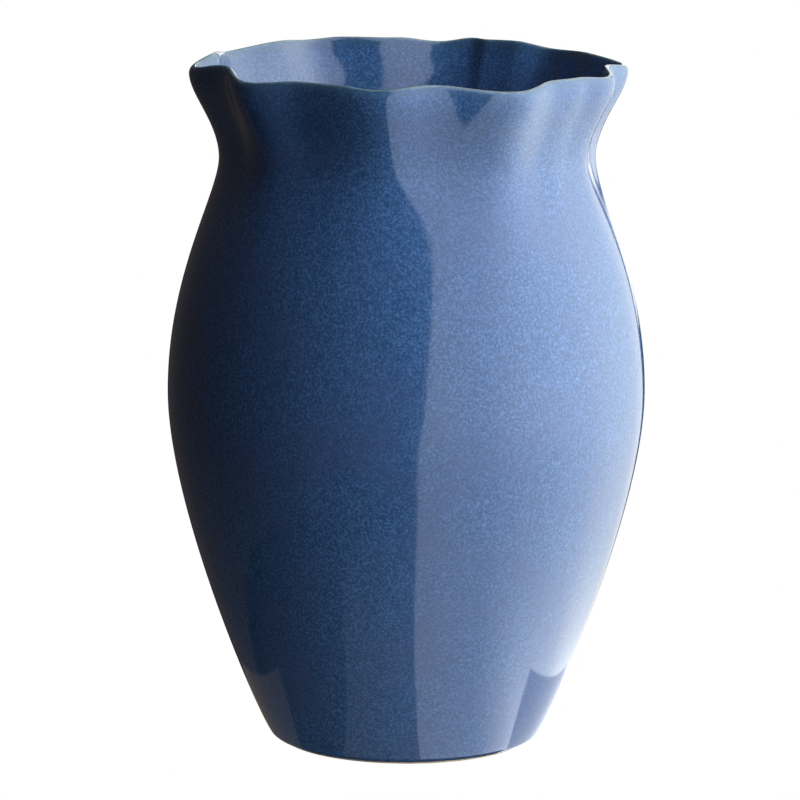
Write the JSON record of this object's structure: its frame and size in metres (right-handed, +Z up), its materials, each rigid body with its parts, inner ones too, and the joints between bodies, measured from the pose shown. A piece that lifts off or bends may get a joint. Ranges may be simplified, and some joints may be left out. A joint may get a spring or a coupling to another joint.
{
  "type": "flower vase",
  "caption": "Glazed stoneware flower vase: a round belly on a low foot, a pulled-in neck and a hand-pinched wavy lip, open at the top.",
  "frame": {"origin": "centre of the foot's contact face, on the vase's axis", "axes": "+Z up along the vase's axis; +X to the viewer's right and -Y towards the viewer"},
  "size_m": [0.214, 0.214, 0.3096],
  "materials": {
    "bare_clay": "unglazed matte stoneware",
    "blue_glaze": "glossy mottled navy glaze",
    "pale_break": "glossy glaze, thinned to a pale blue-green edge"
  },
  "bodies": {
    "root": {"stoneware_body": "bare_clay", "foot_ring": "bare_clay", "outer_glaze": "blue_glaze", "inner_glaze": "blue_glaze", "lip_glaze": "pale_break", "base_glaze": "blue_glaze"}
  },
  "joints": []
}
